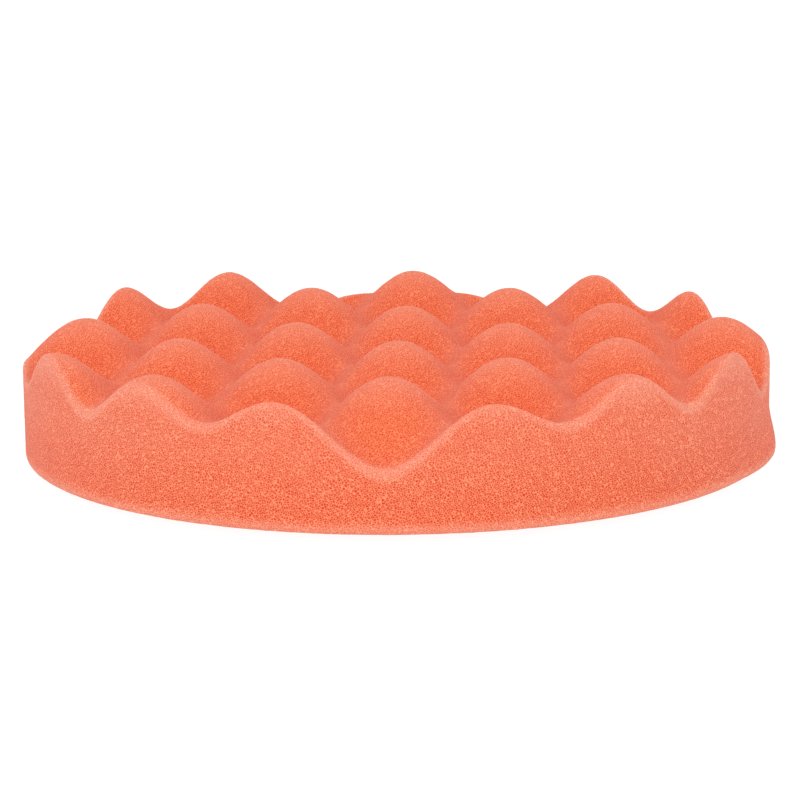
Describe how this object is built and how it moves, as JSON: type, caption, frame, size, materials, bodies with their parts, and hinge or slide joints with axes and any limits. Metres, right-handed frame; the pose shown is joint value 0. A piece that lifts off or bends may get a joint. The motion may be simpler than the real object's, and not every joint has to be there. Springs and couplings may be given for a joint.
{
  "type": "foam polishing pad",
  "caption": "Round waffle-faced foam polishing pad: a thick orange open-cell foam disc with staggered round bumps, glued to a disc of loop fabric that grips a machine's backing plate.",
  "frame": {"origin": "centre of the loop backing's underside, the face that goes on the machine's backing plate", "axes": "+Z along the pad's axis from the loop backing to the waffle working face; the bumps' columns run within 3 degrees of Y and their rows within 3 degrees of X"},
  "size_m": [0.18, 0.18, 0.0326],
  "materials": {
    "polishing_foam": "matte orange open-cell polyurethane foam with fine pores",
    "glue_film": "translucent hot-melt glue film",
    "loop_fabric": "white knitted loop fabric with a short brushed pile"
  },
  "bodies": {
    "root": {"foam_disc": "polishing_foam", "adhesive_film": "glue_film", "loop_backing": "loop_fabric"}
  },
  "joints": []
}
